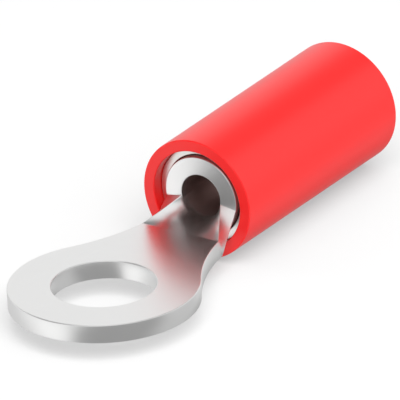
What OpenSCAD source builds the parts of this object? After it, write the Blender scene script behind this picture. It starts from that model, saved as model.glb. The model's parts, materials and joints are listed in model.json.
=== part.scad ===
// Pre-insulated ring terminal: a formed ring tongue and wire barrel, a metal support sleeve on the barrel,
// and a plastic insulation sleeve over both. Millimetres. The origin is the centre of the stud hole on the
// tongue's underside, +X runs along the wire and +Z is up.

/* [Ring tongue] */
// Diameter of the stud hole
stud_hole_d = 4.34; // [3.2:0.02:5.2]
// Width of the ring
ring_w = 7.9; // [7:0.1:9.4]
// Thickness of the strip that the terminal is formed from
strip_t = 0.79; // [0.6:0.01:1]
// Distance from the stud hole's centre to the bend line, where the flat tongue ends
bend_x = 5.58; // [5:0.02:7]

/* [Formed transition] */
// Length from the bend line to the barrel's front face
transition_l = 1.58; // [1.2:0.02:3]
// How far the bend line on the underside lies behind the one on top
heel = 0.29; // [0.1:0.01:0.5]
// Angle of the barrel's wall that the trough of the transition joins
trough_angle = 162; // [130:1:172]

/* [Wire barrel] */
// Diameter of the bore that takes the bare wire
barrel_bore_d = 1.9; // [1.5:0.02:2.4]
// Length of the barrel
barrel_l = 5.8; // [4.6:0.1:7.4]
// Depth of the countersink that leads the wire's strands into the bore
mouth_l = 0.3; // [0.1:0.05:0.5]
// Wall that the countersink leaves at the barrel's rear rim
mouth_rim = 0.35; // [0.2:0.01:0.5]
// Number of serration grooves, which bite on the wire when the barrel is crimped
serrations = 3; // [1:1:4]
// Width of a serration groove
serration_w = 0.3; // [0.15:0.05:0.4]
// Depth of a serration groove
serration_depth = 0.08; // [0.04:0.01:0.15]
// Length of plain bore between the barrel's front face and the serrated stretch
serration_setback = 2.2; // [1.5:0.1:2.4]

/* [Support sleeve] */
// Wall of the support sleeve
support_wall = 0.33; // [0.25:0.01:0.45]
// Radial clearance between the barrel and the support sleeve
barrel_clearance = 0.03; // [0.01:0.005:0.05]
// How far the support sleeve's front rim lies behind the barrel's front face
support_setback = 0.22; // [0.05:0.01:0.8]
// How far the support sleeve's rear rim lies inside the insulation's rear face
support_rear_gap = 0.7; // [0.3:0.05:1.5]
// Wall that the funnel leaves at the support sleeve's rear rim
funnel_rim = 0.12; // [0.08:0.01:0.2]
// Length of the funnel that leads the wire's jacket in
funnel_l = 0.6; // [0.3:0.05:1]

/* [Insulation sleeve] */
// Wall of the insulation sleeve at its front end
insulation_wall = 0.5; // [0.4:0.02:0.8]
// Length of the insulation sleeve
insulation_l = 10.9; // [9.2:0.1:13]
// How far the insulation's front face stands ahead of the barrel's front face
insulation_reach = 0.31; // [0.1:0.01:0.5]
// Radial clearance between the support sleeve and the insulation's bore
insulation_clearance = 0.01; // [0.005:0.005:0.03]
// How much the outer radius grows from the front end to the rear end
insulation_taper = 0.02; // [0:0.005:0.06]
// Chamfer on the insulation's outer edges
insulation_edge = 0.05; // [0.02:0.01:0.12]
// Size of the chamfer that leads the wire into the insulation's rear mouth
insulation_mouth = 0.25; // [0.1:0.05:0.35]

/* [Hidden] */
$fn = 96;

ring_r = ring_w / 2;
bore_r = barrel_bore_d / 2;
barrel_r = bore_r + strip_t;
axis_z = barrel_r;  // the barrel's underside is level with the tongue's
barrel_x = bend_x + transition_l;
serration_pitch = (barrel_l - mouth_l - serration_setback) / serrations;

support_r_in = barrel_r + barrel_clearance;
support_r_out = support_r_in + support_wall;
support_x = barrel_x + support_setback;

insulation_bore_r = support_r_out + insulation_clearance;
insulation_r = insulation_bore_r + insulation_wall;
insulation_x = barrel_x - insulation_reach;
insulation_end_x = insulation_x + insulation_l;
support_end_x = insulation_end_x - support_rear_gap;

// Each side of the neck is one arc that leaves the ring tangentially and ends level with the barrel's side.
neck_arc_r = (barrel_x ^ 2 + barrel_r ^ 2 - ring_r ^ 2) / (2 * (ring_r - barrel_r));
neck_arc_y = barrel_r + neck_arc_r;
neck_tangent = ring_r * [barrel_x, neck_arc_y] / norm([barrel_x, neck_arc_y]);

// Half the strip's width at a distance x from the stud hole's centre
function neck_half(x) = neck_arc_y - sqrt(neck_arc_r ^ 2 - (barrel_x - x) ^ 2);

through = 1;  // how far a cutter runs past the faces that it cuts
strips = 36;  // facets across the trough of the transition
slices = 12;  // slices along the transition
seat = 0.004;  // how far the trough's end lies inside the barrel's wall, for one clean joint
seam_turn = 4;  // angle from the insulation's lowest line to the seam where its revolve begins and ends

// A point on the trough's round end, at a share s of its half angle to one side, in the YZ plane
function round_end(r, s) = let (a = s * trough_angle / 2) [r * sin(a), axis_z - r * cos(a)];

// A point on a ruled surface between a straight line across the strip and the trough's round end
function ruled(half_w, z, r, s, t) = (1 - t) * [s * half_w, z] + t * round_end(r, s);

// The outline of the transition dx behind the bend line: over the inner surface, then back over the outer.
// The outer surface stays flat as far as the heel.
function section(dx) =
    let (x = bend_x + dx,
         heel_half = neck_half(bend_x + min(dx, heel)),
         inner = dx / transition_l,
         outer = max(0, (dx - heel) / (transition_l - heel)),
         shares = [for (i = [0 : strips]) 2 * i / strips - 1])
    concat(
        [for (s = shares) concat([x], ruled(neck_half(bend_x), strip_t, bore_r + seat, s, inner))],
        [for (s = shares) concat([x], ruled(heel_half, 0, barrel_r - seat, -s, outer))]);

// The closed solid that joins a list of outlines, each one going once round with the same number of points
module loft(outlines) {
    n = len(outlines[0]);
    last = (len(outlines) - 1) * n;
    half = n / 2;
    sides = [
        for (k = [0 : len(outlines) - 2], i = [0 : n - 1])
            let (a = k * n + i, b = k * n + (i + 1) % n)
            each [[a, b, b + n], [a, b + n, a + n]]
    ];
    ends = [
        for (i = [0 : half - 2])
            let (j = n - 1 - i)
            each [[i, j, j - 1, i + 1], [last + i, last + i + 1, last + j - 1, last + j]]
    ];
    polyhedron(points = [for (o = outlines) each o], faces = concat(sides, ends), convexity = 4);
}

module along_x(x) {
    translate([x, 0, axis_z]) rotate([0, 90, 0]) children();
}

module tongue() {
    difference() {
        linear_extrude(strip_t) difference() {
            union() {
                circle(ring_r);
                translate([neck_tangent.x, -neck_tangent.y])
                    square([bend_x - neck_tangent.x, 2 * neck_tangent.y]);
            }
            for (side = [-1, 1]) translate([barrel_x, side * neck_arc_y]) circle(neck_arc_r, $fn = 240);
        }
        translate([0, 0, -through]) cylinder(h = strip_t + 2 * through, d = stud_hole_d);
    }
}

module transition() {
    step = (transition_l - heel) / slices;
    loft([section(0), for (k = [0 : slices]) section(heel + k * step)]);
}

module barrel() {
    along_x(barrel_x) difference() {
        cylinder(h = barrel_l, r = barrel_r);
        translate([0, 0, -through]) cylinder(h = barrel_l + 2 * through, r = bore_r);
        translate([0, 0, barrel_l - mouth_l])
            cylinder(h = mouth_l, r1 = bore_r, r2 = barrel_r - mouth_rim);
        for (i = [0 : serrations - 1])
            translate([0, 0, serration_setback + (i + 0.5) * serration_pitch - serration_w / 2])
                cylinder(h = serration_w, r = bore_r + serration_depth);
    }
}

module terminal_body() {
    color("#d6d4d2") union() {
        tongue();
        transition();
        barrel();
    }
}

module support_sleeve() {
    length = support_end_x - support_x;
    color("#c9c6c2") along_x(support_x) difference() {
        cylinder(h = length, r = support_r_out);
        translate([0, 0, -through]) cylinder(h = length + 2 * through, r = support_r_in);
        translate([0, 0, length - funnel_l])
            cylinder(h = funnel_l, r1 = support_r_in, r2 = support_r_out - funnel_rim);
    }
}

module insulation_sleeve() {
    rear_r = insulation_r + insulation_taper;
    color("#fb3f40") along_x(insulation_x) rotate([0, 0, seam_turn]) rotate_extrude() polygon([
        [insulation_bore_r, 0],
        [insulation_r - insulation_edge, 0],
        [insulation_r, insulation_edge],
        [rear_r, insulation_l - insulation_edge],
        [rear_r - insulation_edge, insulation_l],
        [insulation_bore_r + insulation_mouth, insulation_l],
        [insulation_bore_r, insulation_l - insulation_mouth],
    ]);
}

terminal_body();
support_sleeve();
insulation_sleeve();
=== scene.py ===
"""Pre-insulated ring terminal: the tinned terminal, its support sleeve and its red insulation sleeve."""

import json
import math
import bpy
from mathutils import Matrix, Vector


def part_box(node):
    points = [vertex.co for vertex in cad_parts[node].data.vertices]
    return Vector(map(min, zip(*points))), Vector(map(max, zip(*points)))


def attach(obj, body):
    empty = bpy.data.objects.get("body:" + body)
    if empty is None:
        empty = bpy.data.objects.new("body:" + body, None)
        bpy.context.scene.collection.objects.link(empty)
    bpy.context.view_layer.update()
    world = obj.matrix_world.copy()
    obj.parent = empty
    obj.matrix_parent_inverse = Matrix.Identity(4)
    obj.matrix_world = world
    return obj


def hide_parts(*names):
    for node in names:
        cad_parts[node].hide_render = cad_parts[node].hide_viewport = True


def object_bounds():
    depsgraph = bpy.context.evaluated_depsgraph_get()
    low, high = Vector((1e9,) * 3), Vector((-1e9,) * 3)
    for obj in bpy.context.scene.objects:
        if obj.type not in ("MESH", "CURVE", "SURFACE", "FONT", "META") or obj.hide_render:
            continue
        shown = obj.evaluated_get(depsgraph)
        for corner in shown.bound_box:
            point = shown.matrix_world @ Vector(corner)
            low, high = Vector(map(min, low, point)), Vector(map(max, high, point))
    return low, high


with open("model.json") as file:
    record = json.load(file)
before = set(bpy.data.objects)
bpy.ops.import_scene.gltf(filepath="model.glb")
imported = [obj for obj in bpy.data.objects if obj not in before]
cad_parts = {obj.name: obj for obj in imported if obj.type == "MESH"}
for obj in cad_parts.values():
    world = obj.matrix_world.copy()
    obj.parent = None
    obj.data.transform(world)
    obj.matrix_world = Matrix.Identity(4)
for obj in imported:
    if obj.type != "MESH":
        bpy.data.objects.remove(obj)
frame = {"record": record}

from types import SimpleNamespace

import bmesh
import bpy
from mathutils import Matrix, Vector

bl_info = {
    "name": "Ring terminal",
    "version": (1, 0, 0),
    "blender": (4, 5, 0),
    "location": "View3D > Sidebar > Ring terminal",
    "description": "Builds a pre-insulated ring terminal around its packed model",
    "category": "Add Mesh",
}

MM = 0.001
DEGREE = math.radians(1)
NEAR = 0.001  # millimetres within which two places are taken as one
MERGE = 0.0002  # millimetres within which vertices are merged
CAD_BOX = [list(corner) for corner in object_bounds()]
MOUNTS = {mount["name"]: mount for mount in frame["record"]["mounts"]}
ALONG_X = Vector((1, 0, 0))
ALONG_Z = Vector((0, 0, 1))
WHITE = (1, 1, 1, 1)


# ---------------------------------------------------------------- settings


def length(name, description, millimetres):
    """A length property whose default is given in millimetres."""
    return bpy.props.FloatProperty(
        name=name, description=description, default=millimetres * MM, min=0, precision=5,
        unit="LENGTH", subtype="DISTANCE",
    )


def angle(name, description, degrees):
    """An angle property whose default is given in degrees."""
    return bpy.props.FloatProperty(
        name=name, description=description, default=degrees * DEGREE, unit="ROTATION", subtype="ANGLE",
    )


def colour(name, description, red, green, blue):
    """A colour property with linear components."""
    return bpy.props.FloatVectorProperty(
        name=name, description=description, default=(red, green, blue), min=0, max=1,
        size=3, subtype="COLOR",
    )


def factor(name, description, value):
    """A property between 0 and 1."""
    return bpy.props.FloatProperty(
        name=name, description=description, default=value, min=0, max=1, subtype="FACTOR",
    )


class TerminalSettings(bpy.types.PropertyGroup):
    """Sizes of the formed terminal that its box and mounts don't give."""

    bend_x: length("Bend line", "Distance from the stud hole's centre to the bend line on top", 5.58)
    heel: length("Heel", "How far the bend line on the underside lies behind the one on top", 0.29)
    trough_angle: angle("Trough angle", "Angle of the barrel's wall that the trough joins", 162)
    mouth_l: length("Countersink length", "Depth of the countersink at the barrel's rear end", 0.3)
    mouth_rim: length("Countersink rim", "Wall that the countersink leaves at the rear rim", 0.35)
    serration_setback: length("Serration setback", "Plain bore ahead of the serrated stretch", 2.2)
    serration_w: length("Serration width", "Width of a serration groove", 0.3)
    serration_depth: length("Serration depth", "Depth of a serration groove", 0.08)
    serrations: bpy.props.IntProperty(
        name="Serrations", description="Number of serration grooves in the bore", default=3, min=1, max=4,
    )
    edge_round: length("Edge rounding", "Rounding of the stamped and turned edges", 0.035)
    bend_round: length("Bend rounding", "Width of the rounded bend lines on each side", 0.05)


class SleeveSettings(bpy.types.PropertyGroup):
    """Sizes of the two sleeves that their boxes and mounts don't give."""

    funnel_l: length("Funnel length", "Length of the funnel in the support sleeve's rear end", 0.6)
    funnel_rim: length("Funnel rim", "Wall that the funnel leaves at the rear rim", 0.12)
    support_edge: length("Support edge rounding", "Rounding of the support sleeve's rims", 0.03)
    clearance: length("Insulation clearance", "Radial gap round the support sleeve", 0.01)
    taper: length("Insulation taper", "Growth of the insulation's radius from front to rear", 0.02)
    insulation_edge: length("Insulation edge rounding", "Rounding of the insulation's outer edges", 0.05)
    insulation_mouth: length("Insulation mouth", "Rounding of the insulation's rear mouth", 0.25)


class FinishSettings(bpy.types.PropertyGroup):
    """Colours and roughness of the tin plating and of the insulation."""

    tin: colour("Tin", "Colour of the tin plating", 0.85, 0.85, 0.845)
    bounce: colour("Bounce", "Colour of the light that the insulation casts about", 0.24, 0.16, 0.16)
    # painted shade: the dark brown given to the inside of the bore and to the barrel's covered skin
    painted_shade_tone: colour("Dull tin", "Colour of the thin plating inside the barrel", 0.52, 0.38, 0.36)
    tin_roughness: factor("Tin roughness", "Roughness of the tin plating", 0.3)
    sleeve_tin: colour("Sleeve tin", "Colour of the support sleeve's plating", 0.80, 0.79, 0.77)
    insulation: colour("Insulation", "Colour of the insulation", 0.95, 0.011, 0.011)
    insulation_roughness: factor("Insulation roughness", "Roughness of the insulation", 0.3)


class StageSettings(bpy.types.PropertyGroup):
    """The camera, the floor, the surroundings and the key lamp."""

    target: bpy.props.FloatVectorProperty(
        name="Target", description="Point on the camera's axis", size=3, precision=5,
        default=(7.09 * MM, 0, 1.617 * MM), unit="LENGTH", subtype="TRANSLATION",
    )
    distance: length("Distance", "Distance from the camera to its target", 654.03)
    heading: angle("Heading", "Direction in which the camera looks, from the X axis", 35.079)
    elevation: angle("Elevation", "Height of the camera above the horizon", 24.976)
    roll: angle("Roll", "Turn of the camera about its own axis", -2.972)
    lens: bpy.props.FloatProperty(
        name="Lens", description="Focal length", default=1440, min=1, unit="CAMERA",
    )
    floor_w: length("Floor width", "Side of the square floor", 6000)
    floor: colour("Floor", "Colour of the floor", 0.94, 0.94, 0.94)
    floor_glow: factor("Floor glow", "Share of plain white in the floor where it is seen", 0.38)
    world: bpy.props.FloatProperty(
        name="World", description="Strength of the white surroundings", default=1, min=0,
    )
    key_energy: bpy.props.FloatProperty(
        name="Key energy", description="Power of the soft key lamp", default=0.47, min=0, unit="POWER",
    )
    key_size: length("Key size", "Diameter of the soft key lamp", 250)
    key_distance: length("Key distance", "Distance from the object to the key lamp", 280)
    key_heading: angle("Key heading", "Direction of the key lamp, from the X axis", 225)
    key_elevation: angle("Key elevation", "Height of the key lamp above the horizon", 56)


GROUPS = {
    "ring_terminal_body": TerminalSettings,
    "ring_terminal_sleeves": SleeveSettings,
    "ring_terminal_finish": FinishSettings,
    "ring_terminal_stage": StageSettings,
}


def millimetres(settings):
    """The lengths of a group of settings in millimetres, and its angles and counts as they are."""
    values = {}
    for name, prop in settings.bl_rna.properties.items():
        if prop.type in {"FLOAT", "INT"} and not getattr(prop, "is_array", False):
            scale = 1 / MM if prop.unit == "LENGTH" else 1
            values[name] = getattr(settings, name) * scale
    return SimpleNamespace(**values)


def box_mm(node):
    """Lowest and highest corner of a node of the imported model, in millimetres."""
    return [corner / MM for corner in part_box(node)]


# ---------------------------------------------------------------- mesh helpers


CORNER = 40 * DEGREE  # least turn at an outer corner that is rounded
SHARP = 32 * DEGREE  # least turn at an edge that the shading keeps sharp
SQUARE_ON = 0.99999  # least part of a normal along one axis on the broad flat faces, which are shaded flat


def verts_of(geometry):
    """The vertices in a list of mixed geometry."""
    return [item for item in geometry if isinstance(item, bmesh.types.BMVert)]


def added(items, known):
    """The vertices, edges or faces that weren't known before, in the mesh's own order."""
    return [item for item in items if item not in known]


def outline(bm, points):
    """The closed outline through a few points, as vertices and edges."""
    verts = [bm.verts.new(point) for point in points]
    edges = [bm.edges.new((verts[i - 1], verts[i])) for i in range(len(verts))]
    return verts + edges


def arc_on(bm, vertex, centre, turn, steps):
    """Draws an arc of edges on from a vertex, about a vertical axis; returns its last vertex."""
    spun = bmesh.ops.spin(bm, geom=[vertex], cent=centre, axis=ALONG_Z, angle=turn, steps=steps)
    return verts_of(spun["geom_last"])[0]


def line_on(bm, vertex, point, steps):
    """Draws a straight line of edges on from a vertex to a point."""
    drawn = bmesh.ops.extrude_vert_indiv(bm, verts=[vertex])
    drawn["verts"][0].co = point
    bmesh.ops.subdivide_edges(bm, edges=drawn["edges"], cuts=steps - 1)


def revolve(bm, geometry, axis_z, turn, steps, whole=False):
    """Spins a profile about the wire's axis; returns the geometry of its last place."""
    spun = bmesh.ops.spin(
        bm, geom=geometry, cent=(0, 0, axis_z), axis=ALONG_X, angle=turn, steps=steps, use_merge=whole,
    )
    return spun["geom_last"]


def close_seams(bm):
    """Merges doubled vertices and points every face outwards."""
    bmesh.ops.remove_doubles(bm, verts=bm.verts[:], dist=MERGE)
    bmesh.ops.recalc_face_normals(bm, faces=bm.faces[:])


def round_edges(bm, edges, width, segments=3):
    """Rounds edges with a few narrow faces."""
    bmesh.ops.bevel(
        bm, geom=edges, offset=width, offset_type="OFFSET", segments=segments, profile=0.5,
        affect="EDGES", material=-1, clamp_overlap=True,
    )


def corner_edges(bm, least=CORNER):
    """The outer corners with at least a given turn."""
    return [e for e in bm.edges if e.is_manifold and e.is_convex and e.calc_face_angle() > least]


def place(bm, name, material, node, material_slot):
    """Turns the finished mesh into a piece, in metres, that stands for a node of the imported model."""
    loose = [e for e in bm.edges if not e.is_manifold]
    if loose:
        raise RuntimeError(f"{name} has {len(loose)} open edges")
    bmesh.ops.scale(bm, vec=(MM, MM, MM), verts=bm.verts[:])
    for face in bm.faces:
        face.smooth = max(abs(part) for part in face.normal) < SQUARE_ON
    for edge in bm.edges:
        edge.smooth = edge.calc_face_angle() < SHARP
    mesh = bpy.data.meshes.new(name)
    bm.to_mesh(mesh)
    bm.free()
    piece = bpy.data.objects.new(name, mesh)
    bpy.context.scene.collection.objects.link(piece)
    mesh.materials.append(material)
    weighted = piece.modifiers.new("even_shading", "WEIGHTED_NORMAL")
    weighted.keep_sharp = True
    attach(piece, "root")
    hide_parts(node)
    return piece


# ---------------------------------------------------------------- the terminal


TROUGH_STEPS = 36  # steps from the trough's lowest line to one of its sides
CROWN_STEPS = 44  # steps from there to the barrel's highest line
RING_STEPS = 72  # steps round half of the ring
NECK_STEPS = 16  # steps along one side of the neck
RULING_STEPS = 14  # steps from the bend line to the barrel
BORDER_W = 0.12  # millimetres; a narrow border along the strip's edge keeps the rounding off the broad flat
BEND_SEGMENTS = 4  # faces across a rounded bend line


def terminal_sizes(settings):
    """Every size of the terminal in millimetres, from its box, its mounts and its settings."""
    size = millimetres(settings)
    low, high = box_mm("terminal_body")
    size.ring_r = -low.x
    size.strip_t = MOUNTS["stud_hole"]["dims"]["length_mm"]
    size.hole_r = MOUNTS["stud_hole"]["dims"]["r_mm"]
    size.bore_r = MOUNTS["wire_barrel"]["dims"]["r_mm"]
    size.groove_r = size.bore_r + size.serration_depth
    size.barrel_r = size.bore_r + size.strip_t
    size.axis_z = size.barrel_r
    size.barrel_end = high.x
    size.bore_l = MOUNTS["wire_barrel"]["dims"]["length_mm"]
    size.barrel_x = size.barrel_end - size.mouth_l - size.bore_l
    reach = size.barrel_x ** 2 + size.barrel_r ** 2 - size.ring_r ** 2
    size.neck_arc_r = reach / (2 * (size.ring_r - size.barrel_r))
    size.neck_arc_y = size.barrel_r + size.neck_arc_r
    return size


def half_face(bm, size, z, line_x, arc_r):
    """Half of one broad face of the strip. The ring and the neck lie flat at a height. Behind the bend line
    the face is ruled up to an arc on the barrel's front face."""
    centre = Vector((size.barrel_x, size.neck_arc_y, z))
    toward_neck = math.atan2(size.neck_arc_y, size.barrel_x)
    known = set(bm.edges)

    # The outline runs round the ring from its far end, along the neck and back to the middle line.
    far = bmesh.ops.create_vert(bm, co=(-size.ring_r, 0, z))["vert"][0]
    tangent = arc_on(bm, far, (0, 0, z), toward_neck - math.pi, RING_STEPS)
    swing = math.pi / 2 - toward_neck - math.asin((size.barrel_x - line_x) / size.neck_arc_r)
    corner = arc_on(bm, tangent, centre, swing, NECK_STEPS)
    half_w = corner.co.y
    sides = added(bm.edges, known)
    line_on(bm, corner, (line_x, 0, z), TROUGH_STEPS)
    bend = added(bm.edges, known.union(sides))

    # A narrow border lies inside the outline, and the broad flat runs from it to the stud hole.
    border = bmesh.ops.extrude_edge_only(bm, edges=sides + bend)["geom"]
    rim = set(verts_of(border))
    for vert in rim:
        vert.co -= Vector((vert.co.x, vert.co.y, 0)).normalized() * BORDER_W
    inner = [item for item in border if isinstance(item, bmesh.types.BMEdge) and rim.issuperset(item.verts)]
    for vert in verts_of(bmesh.ops.extrude_edge_only(bm, edges=inner)["geom"]):
        flat = Vector((vert.co.x, vert.co.y, 0)).normalized() * size.hole_r
        vert.co = (flat.x, flat.y, z)

    # Straight rulings join the bend line to the arc.
    before = set(bm.edges)
    rising = verts_of(bmesh.ops.extrude_edge_only(bm, edges=bend)["geom"])
    for vert in rising:
        turn = vert.co.y / half_w * size.trough_angle / 2
        vert.co = (size.barrel_x, arc_r * math.sin(turn), size.axis_z - arc_r * math.cos(turn))
    ends = set(rising)
    rulings = [e for e in added(bm.edges, before) if len(ends.intersection(e.verts)) == 1]
    bmesh.ops.subdivide_edges(bm, edges=rulings, cuts=RULING_STEPS - 1, use_grid_fill=True)


def strip_edges(bm, size):
    """The open edges of the two broad faces: those round the outside and those round the stud hole."""
    outside = []
    hole = []
    for edge in bm.edges:
        if not edge.is_boundary:
            continue
        a, b = (v.co for v in edge.verts)
        on_middle_line = max(abs(a.y), abs(b.y)) < NEAR
        on_barrel = min(a.x, b.x) > size.barrel_x - NEAR
        if on_middle_line or on_barrel:
            continue
        on_rim = all(abs(math.hypot(p.x, p.y) - size.hole_r) < NEAR for p in (a, b))
        (hole if on_rim else outside).append(edge)
    return outside, hole


def half_barrel(bm, size):
    """Half of the wire barrel, spun from its section, and open in front where the trough joins it."""
    mouth_r = size.barrel_r - size.mouth_rim
    pitch = (size.bore_l - size.serration_setback) / size.serrations
    bore = []
    for i in range(int(size.serrations)):
        middle = size.barrel_x + size.serration_setback + (i + 0.5) * pitch
        start = middle - size.serration_w / 2
        end = middle + size.serration_w / 2
        bore += [(start, size.bore_r), (start, size.groove_r), (end, size.groove_r), (end, size.bore_r)]
    section = [(size.barrel_x, size.barrel_r), (size.barrel_x, size.bore_r)] + bore
    section += [(size.barrel_end - size.mouth_l, size.bore_r), (size.barrel_end, mouth_r)]
    section += [(size.barrel_end, size.barrel_r)]
    profile = outline(bm, [(x, 0, size.axis_z - r) for x, r in section])
    known = set(bm.faces)
    side = revolve(bm, profile, size.axis_z, size.trough_angle / 2, TROUGH_STEPS)
    joined = [
        face for face in added(bm.faces, known)
        if all(abs(v.co.x - size.barrel_x) < NEAR for v in face.verts)
    ]
    revolve(bm, side, size.axis_z, math.pi - size.trough_angle / 2, CROWN_STEPS)
    bmesh.ops.delete(bm, geom=joined, context="FACES")


def bend_edges(bm, size):
    """The bend lines: on top at the end of the flat tongue, and on the underside at the heel."""
    lines = [(size.bend_x, size.strip_t), (size.bend_x + size.heel, 0)]
    return [
        edge for edge in bm.edges
        if any(all(abs(v.co.x - x) + abs(v.co.z - z) < NEAR for v in edge.verts) for x, z in lines)
    ]


def make_terminal(size, material):
    """The ring tongue, the formed transition and the barrel, as one piece of metal."""
    bm = bmesh.new()
    half_face(bm, size, size.strip_t, size.bend_x, size.bore_r)
    half_face(bm, size, 0, size.bend_x + size.heel, size.barrel_r)
    for edges in strip_edges(bm, size):
        bmesh.ops.bridge_loops(bm, edges=edges)
    half_barrel(bm, size)
    bmesh.ops.remove_doubles(bm, verts=bm.verts[:], dist=MERGE)
    whole = bm.verts[:] + bm.edges[:] + bm.faces[:]
    bmesh.ops.mirror(bm, geom=whole, matrix=Matrix.Identity(4), merge_dist=MERGE, axis="Y")
    close_seams(bm)
    round_edges(bm, corner_edges(bm), size.edge_round)
    round_edges(bm, bend_edges(bm, size), size.bend_round, segments=BEND_SEGMENTS)
    return place(bm, "terminal", material, "terminal_body", "tinned_copper")


# ---------------------------------------------------------------- the sleeves


SLEEVE_STEPS = 160  # steps round a sleeve
MOUTH_SEGMENTS = 6  # faces across the rounding of the insulation's mouth
RIM_SEGMENTS = 4  # faces across the rounding of its rims
RIM_CORNER = 60 * DEGREE  # least turn at the rims, which is more than anywhere in the rounded mouth


def sleeve_sizes(settings):
    """Every size of the support sleeve in millimetres, from its box, its mount and its settings."""
    size = millimetres(settings)
    low, high = box_mm("support_sleeve")
    size.front_x = low.x
    size.rear_x = high.x
    size.axis_z = (low.z + high.z) / 2
    size.support_r = high.y
    size.grip_r = MOUNTS["jacket_grip"]["dims"]["r_mm"]
    return size


def make_support_sleeve(size, material):
    """The metal sleeve on the barrel, which holds the wire's jacket in its rear part."""
    bm = bmesh.new()
    section = [
        (size.front_x, size.grip_r),
        (size.front_x, size.support_r),
        (size.rear_x, size.support_r),
        (size.rear_x, size.support_r - size.funnel_rim),
        (size.rear_x - size.funnel_l, size.grip_r),
    ]
    profile = outline(bm, [(x, 0, size.axis_z - r) for x, r in section])
    revolve(bm, profile, size.axis_z, 2 * math.pi, SLEEVE_STEPS, whole=True)
    close_seams(bm)
    round_edges(bm, corner_edges(bm), size.support_edge)
    return place(bm, "support_sleeve_shell", material, "support_sleeve", "sleeve_copper")


def insulation_sizes(settings):
    """Every size of the insulation in millimetres, from its box, the support sleeve's and its settings."""
    size = millimetres(settings)
    low, high = box_mm("insulation_sleeve")
    size.front_x = low.x
    size.rear_x = high.x
    size.axis_z = (low.z + high.z) / 2
    size.rear_r = high.y
    size.bore_r = box_mm("support_sleeve")[1].y + size.clearance
    return size


def mouth_edges(bm, size):
    """The rear end's inner corner, which leads the wire in."""
    return [
        edge for edge in corner_edges(bm)
        if all(
            v.co.x > size.rear_x - NEAR and math.hypot(v.co.y, v.co.z - size.axis_z) < size.bore_r + NEAR
            for v in edge.verts
        )
    ]


def make_insulation(size, material):
    """The plastic sleeve over the barrel and the support sleeve."""
    bm = bmesh.new()
    section = [
        (size.front_x, size.bore_r),
        (size.front_x, size.rear_r - size.taper),
        (size.rear_x, size.rear_r),
        (size.rear_x, size.bore_r),
    ]
    profile = outline(bm, [(x, 0, size.axis_z - r) for x, r in section])
    revolve(bm, profile, size.axis_z, 2 * math.pi, SLEEVE_STEPS, whole=True)
    close_seams(bm)
    round_edges(bm, mouth_edges(bm, size), size.insulation_mouth, segments=MOUTH_SEGMENTS)
    round_edges(bm, corner_edges(bm, RIM_CORNER), size.insulation_edge, segments=RIM_SEGMENTS)
    return place(bm, "insulation", material, "insulation_sleeve", "red_insulation")


# ---------------------------------------------------------------- finishes


class Value:
    """A shader value. Python arithmetic on it adds the Math nodes that work it out."""

    def __init__(self, graph, socket):
        self.graph = graph
        self.socket = socket

    def _math(self, operation, first, second):
        return self.graph.node("Math", {"operation": operation}, {0: first, 1: second})

    def __add__(self, other):
        return self._math("ADD", self, other)

    def __sub__(self, other):
        return self._math("SUBTRACT", self, other)

    def __rsub__(self, other):
        return self._math("SUBTRACT", other, self)

    def __mul__(self, other):
        return self._math("MULTIPLY", self, other)

    __radd__ = __add__
    __rmul__ = __mul__


class Graph:
    """The nodes of a material or of the world."""

    def __init__(self, owner):
        owner.use_nodes = True
        self.tree = owner.node_tree
        self.tree.nodes.clear()

    def node(self, kind, settings=None, inputs=None, output=0):
        """Adds a node. Its settings come first, and then the values or links of its sockets."""
        made = self.tree.nodes.new("ShaderNode" + kind)
        for name, value in (settings or {}).items():
            setattr(made, name, value)
        for name, value in (inputs or {}).items():
            if isinstance(value, Value):
                self.tree.links.new(value.socket, made.inputs[name])
            else:
                made.inputs[name].default_value = value
        return Value(self, made.outputs[output]) if made.outputs else None

    def mix(self, share, first, second):
        """A colour between two others. Sockets 6 and 7, and output 2, are the node's colours."""
        return self.node("Mix", {"data_type": "RGBA"}, {0: share, 6: first, 7: second}, output=2)

    def larger(self, first, second):
        """The larger of two values."""
        return self.node("Math", {"operation": "MAXIMUM"}, {0: first, 1: second})

    def noise(self, place, per_mm, detail):
        """Noise between 0 and 1, with a number of cycles in a millimetre."""
        return self.node("TexNoise", None, {"Vector": place, "Scale": per_mm, "Detail": detail})

    def place_mm(self, stretch=(1, 1, 1), shift=(0, 0, 0)):
        """The place on the piece in millimetres, stretched along the axes and then shifted."""
        coordinates = self.node("TexCoord", output="Object")
        scale = tuple(s / MM for s in stretch)
        return self.node("Mapping", None, {"Vector": coordinates, "Scale": scale, "Location": shift})

    def ramp(self, value, start, end):
        """A smooth rise from 0 where a value is at its start to 1 at its end."""
        return self.node("MapRange", {"interpolation_type": "SMOOTHSTEP"}, {
            "Value": value,
            "From Min": start,
            "From Max": end,
        })

    def bump(self, height, strength, depth_mm):
        """A normal that follows a height, which rises by a depth in millimetres."""
        return self.node("Bump", None, {"Height": height, "Strength": strength, "Distance": depth_mm * MM})

    def surface(self, shader):
        """Makes a shader the material's surface."""
        self.node("OutputMaterial", None, {"Surface": shader})


def rgba(tone, scale=1.0):
    """A colour setting as the four numbers of a socket, made lighter or darker."""
    return tuple(c * scale for c in tone) + (1,)


# Cloudiness: cycles in a millimetre, detail, and how far it takes the tone up and down
TIN_CLOUD = (0.9, 3, 0.03)
PLASTIC_CLOUD = (0.7, 3, 0.02)
CLOUD_ROUGHNESS = 0.06  # spread of the roughness over the cloudiness

# Matt grain: cycles in a millimetre, detail, strength and depth in millimetres
TIN_GRAIN = (22, 2, 0.25, 0.001)
PLASTIC_GRAIN = (12, 3, 0.2, 0.002)

# Where the painted shade, and the rougher plating, in and on the barrel start and are full, in millimetres
BORE_WALL = (0.06, 0)  # outside the bore's wall
BORE_FRONT = (0, 0.4)  # behind the bore's front edge
SKIN_DEPTH = (0.03, 0.01)  # below the covered skin
SKIN_FRONT = (0.02, 0.08)  # behind the skin's front edge
DULL_ROUGHNESS = 0.2  # how much rougher it is

PLASTIC_IOR = 1.5


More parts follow.
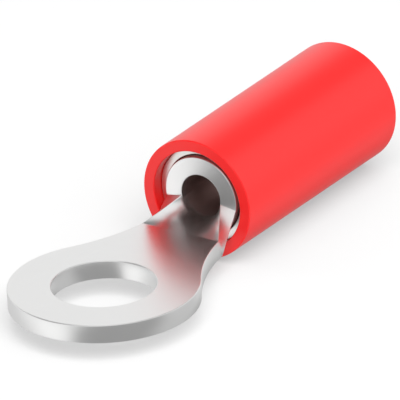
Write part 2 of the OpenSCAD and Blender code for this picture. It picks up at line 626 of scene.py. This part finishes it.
def cloudiness(graph, tone, cloud):
    """A faint unevenness, and a colour that varies with it."""
    per_mm, detail, spread = cloud
    uneven = graph.noise(graph.place_mm(), per_mm, detail)
    return uneven, graph.mix(uneven, rgba(tone, 1 - spread), rgba(tone, 1 + spread))


def matt_grain(graph, grain):
    """The normal of a very fine matt surface."""
    per_mm, detail, strength, depth_mm = grain
    return graph.bump(graph.noise(graph.place_mm(), per_mm, detail), strength, depth_mm)


def shade_and_roughness_mask(graph, axis_z, front_x, bore_r, skin_r):
    """1 where shade is painted on the plating and it is rougher, and 0 elsewhere: within a radius of the
    wire's axis behind the front face, which is the shade in the bore, and on a covered skin if its radius
    is given, which is the shade in the gap."""
    across = graph.place_mm(stretch=(0, 1, 1), shift=(0, 0, -axis_z))
    radius = graph.node("VectorMath", {"operation": "LENGTH"}, {0: across}, output="Value")
    along = graph.node("SeparateXYZ", None, {0: graph.place_mm()})
    outside_wall = graph.ramp(radius, bore_r + BORE_WALL[1], bore_r + BORE_WALL[0])
    # painted shade inside the bore, from its front edge inwards
    shade_and_roughness = graph.ramp(along, front_x + BORE_FRONT[0], front_x + BORE_FRONT[1]) * (1 - outside_wall)
    if skin_r:
        # painted shade on the barrel's skin, in the gap under the support sleeve
        skin = graph.ramp(radius, skin_r - SKIN_DEPTH[0], skin_r - SKIN_DEPTH[1])
        shade_and_roughness = shade_and_roughness + graph.ramp(along, front_x + SKIN_FRONT[0], front_x + SKIN_FRONT[1]) * skin
    return shade_and_roughness


def tinned_metal(name, tone, finish, axis_z, front_x, bore_r, skin_r=0):
    """Satin tin plating: faintly cloudy, with a very fine matt grain. In the bore, and on a covered skin if
    one is given, it is rougher and carries painted shade in dark brown.
    """
    material = bpy.data.materials.new(name)
    graph = Graph(material)
    uneven, plated = cloudiness(graph, tone, TIN_CLOUD)
    shade_and_roughness = shade_and_roughness_mask(graph, axis_z, front_x, bore_r, skin_r)
    smoothest = finish.tin_roughness - CLOUD_ROUGHNESS / 2
    shader = graph.node("BsdfPrincipled", None, {
        # painted shade: dark brown in the bore and on the covered skin
        "Base Color": graph.mix(shade_and_roughness, plated, rgba(finish.painted_shade_tone)),
        "Metallic": 1.0,
        "Roughness": smoothest + CLOUD_ROUGHNESS * uneven + DULL_ROUGHNESS * shade_and_roughness,
        "Normal": matt_grain(graph, TIN_GRAIN),
    })
    graph.surface(shader)
    return material


def insulation_plastic(finish):
    """Moulded plastic with a soft gloss and a fine matt surface. The light that it casts on what lies round
    it has a colour of its own, which is weaker than the plastic's."""
    material = bpy.data.materials.new("red_insulation_plastic")
    graph = Graph(material)
    uneven, base = cloudiness(graph, finish.insulation, PLASTIC_CLOUD)
    casting = graph.node("LightPath", output="Is Diffuse Ray")
    smoothest = finish.insulation_roughness - CLOUD_ROUGHNESS / 2
    shader = graph.node("BsdfPrincipled", None, {
        "Base Color": graph.mix(casting, base, rgba(finish.bounce)),
        "Roughness": smoothest + CLOUD_ROUGHNESS * uneven,
        "IOR": PLASTIC_IOR,
        "Normal": matt_grain(graph, PLASTIC_GRAIN),
    })
    graph.surface(shader)
    return material


# ---------------------------------------------------------------- the stage


# Patches of the surroundings that the metal and the plastic mirror. Each has the heading and elevation of
# its middle, the radius of its full part and of its edge, all in degrees, and its level, where 1 is white.
PATCHES = (
    (238, -36, 42, 68, 0.36),  # the ring's side, where it faces the front
    (60, -35, 15, 60, 0.72),  # the ring's side, towards its left end
    (320, -35, 15, 48, 0.6),  # the ring's side and the strip's flank, towards the right
    (145, 30, 12, 40, 0.18),  # the trough, where it rises to the bore
    (-25, 62, 8, 28, 0.2),  # the left side of the trough
    (64, 51, 10, 24, 0.12),  # the bottom of the trough
    (150, -25, 8, 26, 1.12),  # the barrel's front face
    (10, -47, 12, 28, 0.3),  # the insulation's lower side
    (5, 48, 4, 25, 0.4),  # the deeper band along the insulation's upper side
)
CLIP_REACH = 10  # how many times nearer and farther than its target the camera still sees


def make_floor(stage):
    """A pale floor under the lowest point. It looks whiter than it is lit, and the metal doesn't mirror it,
    because the surroundings take its place there."""
    bm = bmesh.new()
    bmesh.ops.create_grid(bm, x_segments=1, y_segments=1, size=stage.floor_w / 2)
    bmesh.ops.translate(bm, vec=(0, 0, CAD_BOX[0][2]), verts=bm.verts[:])
    mesh = bpy.data.meshes.new("floor")
    bm.to_mesh(mesh)
    bm.free()
    floor = bpy.data.objects.new("floor", mesh)
    bpy.context.scene.collection.objects.link(floor)
    material = bpy.data.materials.new("floor_paper")
    graph = Graph(material)
    straight = graph.node("LightPath", output="Is Camera Ray")
    glossy = graph.node("LightPath", output="Is Glossy Ray")
    through = graph.node("LightPath", output="Is Transmission Ray")
    seen = graph.larger(graph.larger(straight, glossy), through)
    paper = graph.node("BsdfDiffuse", None, {"Color": rgba(stage.floor)})
    white = graph.node("Emission", None, {"Color": WHITE, "Strength": 1.0})
    graph.surface(graph.node("MixShader", None, {0: stage.floor_glow * seen, 1: paper, 2: white}))
    mesh.materials.append(material)
    floor.visible_glossy = False


def make_surroundings(stage):
    """The soft light from all round, with its darker and brighter patches. Seen directly it is white."""
    world = bpy.data.worlds.new("studio")
    graph = Graph(world)
    outward = graph.node("TexCoord")  # in a world, its first output is the direction outwards
    light = stage.world
    for heading, elevation, inner, outer, level in PATCHES:
        middle = Vector((math.cos(elevation * DEGREE), 0, math.sin(elevation * DEGREE)))
        middle.rotate(Matrix.Rotation(heading * DEGREE, 3, "Z"))
        nearness = graph.node(
            "VectorMath", {"operation": "DOT_PRODUCT"}, {0: outward, 1: middle}, output="Value",
        )
        patch = graph.ramp(nearness, math.cos(outer * DEGREE), math.cos(inner * DEGREE))
        light = light + patch * (level - light)
    seen = graph.node("LightPath", output="Is Camera Ray")
    strength = light + seen * (stage.world - light)
    backdrop = graph.node("Background", None, {"Color": WHITE, "Strength": strength})
    graph.node("OutputWorld", None, {"Surface": backdrop})
    bpy.context.scene.world = world


def make_key(stage):
    """One large soft lamp overhead, which the metal doesn't mirror."""
    data = bpy.data.lights.new("key", "AREA")
    data.shape = "DISK"
    data.size = stage.key_size
    data.energy = stage.key_energy
    key = bpy.data.objects.new("key", data)
    bpy.context.scene.collection.objects.link(key)
    across = Vector((math.cos(stage.key_heading), math.sin(stage.key_heading), 0))
    towards = across * math.cos(stage.key_elevation) + ALONG_Z * math.sin(stage.key_elevation)
    aim = towards.to_track_quat("Z", "Y").to_matrix()
    key.matrix_world = Matrix.Translation(towards * stage.key_distance) @ aim.to_4x4()
    key.visible_glossy = False


def make_camera(stage):
    """The camera, aimed along its heading and elevation and then rolled about its own axis."""
    heading = Vector((math.cos(stage.heading), math.sin(stage.heading), 0))
    look = heading * math.cos(stage.elevation) - ALONG_Z * math.sin(stage.elevation)
    data = bpy.data.cameras.new("camera")
    data.lens = stage.lens
    data.clip_start = stage.distance / CLIP_REACH
    data.clip_end = stage.distance * CLIP_REACH
    camera = bpy.data.objects.new("camera", data)
    bpy.context.scene.collection.objects.link(camera)
    aim = look.to_track_quat("-Z", "Y").to_matrix()
    aim = aim @ Matrix.Rotation(stage.roll, 3, "Z")
    camera.matrix_world = Matrix.Translation(Vector(stage.target) - look * stage.distance) @ aim.to_4x4()
    bpy.context.scene.camera = camera


# ---------------------------------------------------------------- operators


class MakeTerminal(bpy.types.Operator):
    """Make the ring tongue, the formed transition and the wire barrel"""

    bl_idname = "ring_terminal.make_terminal"
    bl_label = "Terminal"

    def execute(self, context):
        finish = context.scene.ring_terminal_finish
        size = terminal_sizes(context.scene.ring_terminal_body)
        metal = tinned_metal(
            "tin_plating", finish.tin, finish, size.axis_z, size.barrel_x, size.groove_r, size.barrel_r,
        )
        make_terminal(size, metal)
        return {"FINISHED"}


class MakeSupportSleeve(bpy.types.Operator):
    """Make the metal support sleeve"""

    bl_idname = "ring_terminal.make_support_sleeve"
    bl_label = "Support sleeve"

    def execute(self, context):
        finish = context.scene.ring_terminal_finish
        size = sleeve_sizes(context.scene.ring_terminal_sleeves)
        metal = tinned_metal(
            "sleeve_plating", finish.sleeve_tin, finish, size.axis_z, size.front_x, size.grip_r,
        )
        make_support_sleeve(size, metal)
        return {"FINISHED"}


class MakeInsulation(bpy.types.Operator):
    """Make the plastic insulation sleeve"""

    bl_idname = "ring_terminal.make_insulation"
    bl_label = "Insulation sleeve"

    def execute(self, context):
        size = insulation_sizes(context.scene.ring_terminal_sleeves)
        make_insulation(size, insulation_plastic(context.scene.ring_terminal_finish))
        return {"FINISHED"}


class SetStage(bpy.types.Operator):
    """Set up the floor, the surroundings, the key lamp and the camera"""

    bl_idname = "ring_terminal.set_stage"
    bl_label = "Floor, light and camera"

    def execute(self, context):
        stage = context.scene.ring_terminal_stage
        context.scene.view_settings.view_transform = "Standard"
        make_floor(stage)
        make_surroundings(stage)
        make_key(stage)
        make_camera(stage)
        return {"FINISHED"}


OPERATORS = (MakeTerminal, MakeSupportSleeve, MakeInsulation, SetStage)


class RingTerminalPanel(bpy.types.Panel):
    """Lists the terminal's pieces, its stage and their settings"""

    bl_idname = "VIEW3D_PT_ring_terminal"
    bl_label = "Ring terminal"
    bl_space_type = "VIEW_3D"
    bl_region_type = "UI"
    bl_category = "Ring terminal"

    def draw(self, context):
        for operator in OPERATORS:
            self.layout.operator(operator.bl_idname)
        for pointer, group in GROUPS.items():
            box = self.layout.box()
            for name in group.__annotations__:
                box.prop(getattr(context.scene, pointer), name)


CLASSES = (*GROUPS.values(), *OPERATORS, RingTerminalPanel)


def register():
    for cls in CLASSES:
        bpy.utils.register_class(cls)
    for pointer, group in GROUPS.items():
        setattr(bpy.types.Scene, pointer, bpy.props.PointerProperty(type=group))


def unregister():
    for pointer in GROUPS:
        delattr(bpy.types.Scene, pointer)
    for cls in reversed(CLASSES):
        bpy.utils.unregister_class(cls)


def main():
    register()
    bpy.ops.ring_terminal.make_terminal()
    bpy.ops.ring_terminal.make_support_sleeve()
    bpy.ops.ring_terminal.make_insulation()
    bpy.ops.ring_terminal.set_stage()


if __name__ == "__main__":
    main()
